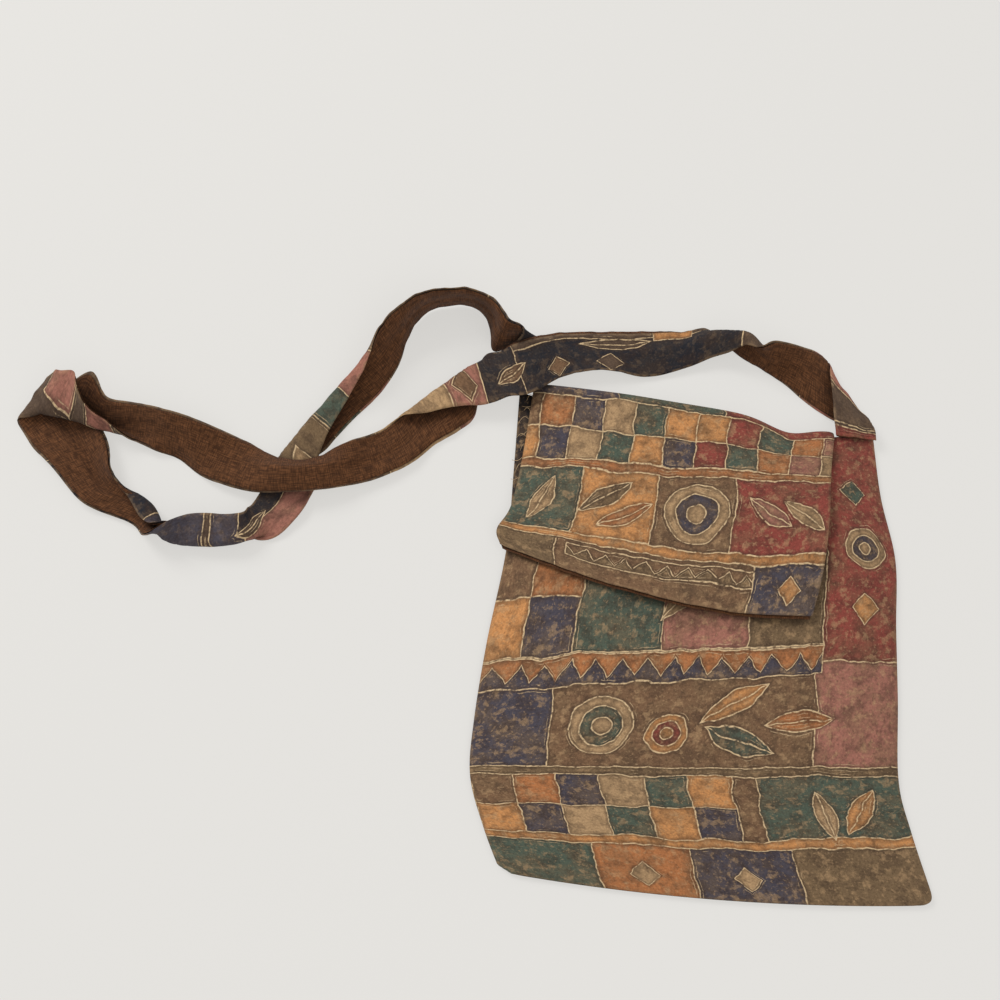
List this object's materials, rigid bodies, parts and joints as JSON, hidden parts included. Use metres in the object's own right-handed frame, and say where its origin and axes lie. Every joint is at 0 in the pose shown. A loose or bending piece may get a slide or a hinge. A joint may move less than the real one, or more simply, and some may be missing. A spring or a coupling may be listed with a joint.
{
  "type": "fabric crossbody bag",
  "caption": "Soft flat cloth pouch with a fold-over flap and a long lined fabric strap, lying on its back with the strap folded and looped on the surface",
  "frame": {"origin": "middle of the back panel, on the surface that the bag lies on", "axes": "+X across the bag to its right, along the strap's longest reach; +Y up the bag towards its mouth; +Z out of the printed front, away from the surface"},
  "size_m": [0.5609, 0.391, 0.0344],
  "materials": {
    "printed_cloth": "matt woven cotton with a mottled multi-colour print",
    "lining_cloth": "matt brown slub linen weave",
    "back_cloth": "matt brown woven cotton"
  },
  "bodies": {
    "root": {"back_panel": "back_cloth", "front_panel": "printed_cloth", "flap": "printed_cloth", "flap_lining": "lining_cloth", "strap": "printed_cloth", "strap_lining": "lining_cloth"}
  },
  "joints": []
}
